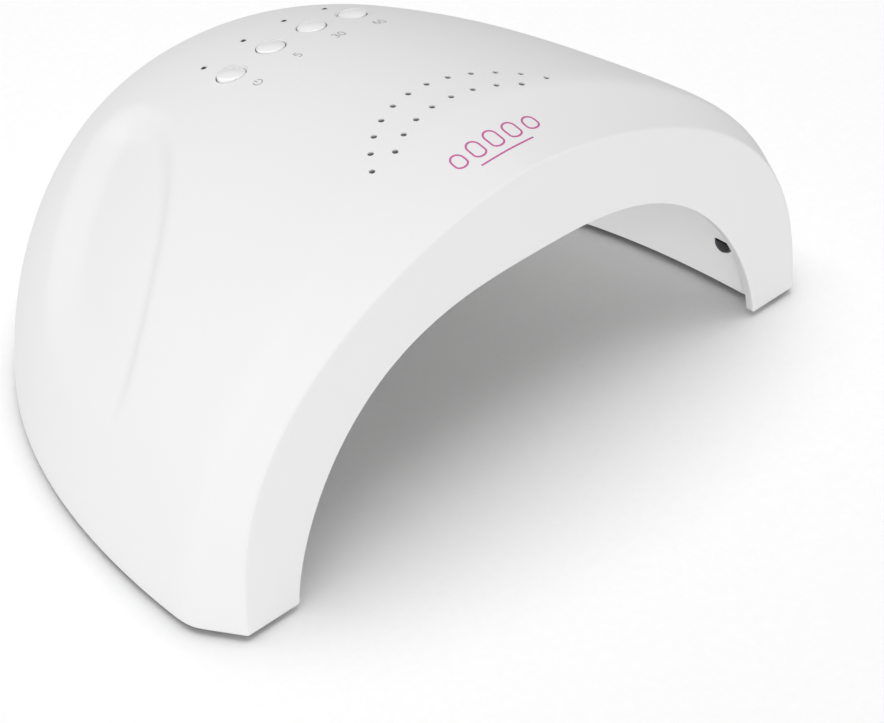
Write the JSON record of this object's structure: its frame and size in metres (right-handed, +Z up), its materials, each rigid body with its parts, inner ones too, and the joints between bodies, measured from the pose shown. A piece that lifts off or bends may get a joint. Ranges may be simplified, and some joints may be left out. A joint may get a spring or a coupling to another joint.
{
  "type": "uv curing lamp",
  "caption": "Arch-fronted dome lamp that cures gel by UV light: glossy shell over an open hand cavity, top push buttons, vents, LED strips and rear power inlet.",
  "frame": {"origin": "under the middle of the lamp, on the surface it stands on", "axes": "+Z up, -Y towards the open front, X across; symmetric about X = 0"},
  "size_m": [0.2176, 0.1572, 0.0908],
  "materials": {
    "shell_white": "glossy moulded white ABS",
    "reflector_white": "glossy white reflector",
    "base_white": "satin white plastic",
    "strip_white": "white solder mask with clear lamp beads",
    "foot_rubber": "matte black rubber",
    "screw_steel": "zinc plated steel",
    "button_white": "glossy white plastic",
    "switch_plastic": "black switch body",
    "indicator_clear": "smoky clear light pipe",
    "board_green": "green solder mask",
    "coil_copper": "enamelled copper winding",
    "capacitor_sleeve": "dark sleeve",
    "connector_white": "off-white nylon",
    "sensor_dark": "dark infrared window",
    "inlet_plastic": "black inlet body",
    "pin_metal": "nickel plated pin",
    "lead_red": "red insulation",
    "lead_black": "black insulation"
  },
  "bodies": {
    "housing": {"base_ring": "base_white", "base_screw_1": "screw_steel", "base_screw_2": "screw_steel", "base_screw_3": "screw_steel", "base_screw_4": "screw_steel", "control_board": "board_green", "control_lead": "lead_black", "control_screw_1": "screw_steel", "control_screw_2": "screw_steel", "dc_inlet": "inlet_plastic", "dc_inlet_pin": "pin_metal", "dc_lead_black": "lead_black", "dc_lead_red": "lead_red", "driver_board": "board_green", "driver_capacitor": "capacitor_sleeve", "driver_connector": "connector_white", "driver_inductor": "coil_copper", "driver_screw_1": "screw_steel", "driver_screw_2": "screw_steel", "driver_screw_3": "screw_steel", "driver_screw_4": "screw_steel", "emitter_lead": "lead_black", "foot_1": "foot_rubber", "foot_2": "foot_rubber", "foot_3": "foot_rubber", "foot_4": "foot_rubber", "indicator_pipe_long": "indicator_clear", "indicator_pipe_medium": "indicator_clear", "indicator_pipe_power": "indicator_clear", "indicator_pipe_short": "indicator_clear", "ir_emitter_board": "board_green", "ir_emitter_window": "sensor_dark", "ir_receiver_board": "board_green", "ir_receiver_window": "sensor_dark", "led_strip_front": "strip_white", "led_strip_middle": "strip_white", "led_strip_rear": "strip_white", "outer_shell": "shell_white", "receiver_lead": "lead_black", "reflector": "reflector_white", "tact_switch_long": "switch_plastic", "tact_switch_medium": "switch_plastic", "tact_switch_power": "switch_plastic", "tact_switch_short": "switch_plastic"},
    "button_power_body": {"button_power": "button_white"},
    "button_short_body": {"button_short": "button_white"},
    "button_medium_body": {"button_medium": "button_white"},
    "button_long_body": {"button_long": "button_white"}
  },
  "joints": [
    {"name": "button_power_press", "type": "slide", "parent": "housing", "child": "button_power_body", "axis": [0, -0.1908, -0.9816], "range_m": [0, 0.0007], "stiffness_N_per_m": 300},
    {"name": "button_short_press", "type": "slide", "parent": "housing", "child": "button_short_body", "axis": [0, -0.1908, -0.9816], "range_m": [0, 0.0007], "stiffness_N_per_m": 300},
    {"name": "button_medium_press", "type": "slide", "parent": "housing", "child": "button_medium_body", "axis": [0, -0.1908, -0.9816], "range_m": [0, 0.0007], "stiffness_N_per_m": 300},
    {"name": "button_long_press", "type": "slide", "parent": "housing", "child": "button_long_body", "axis": [0, -0.1908, -0.9816], "range_m": [0, 0.0007], "stiffness_N_per_m": 300}
  ]
}
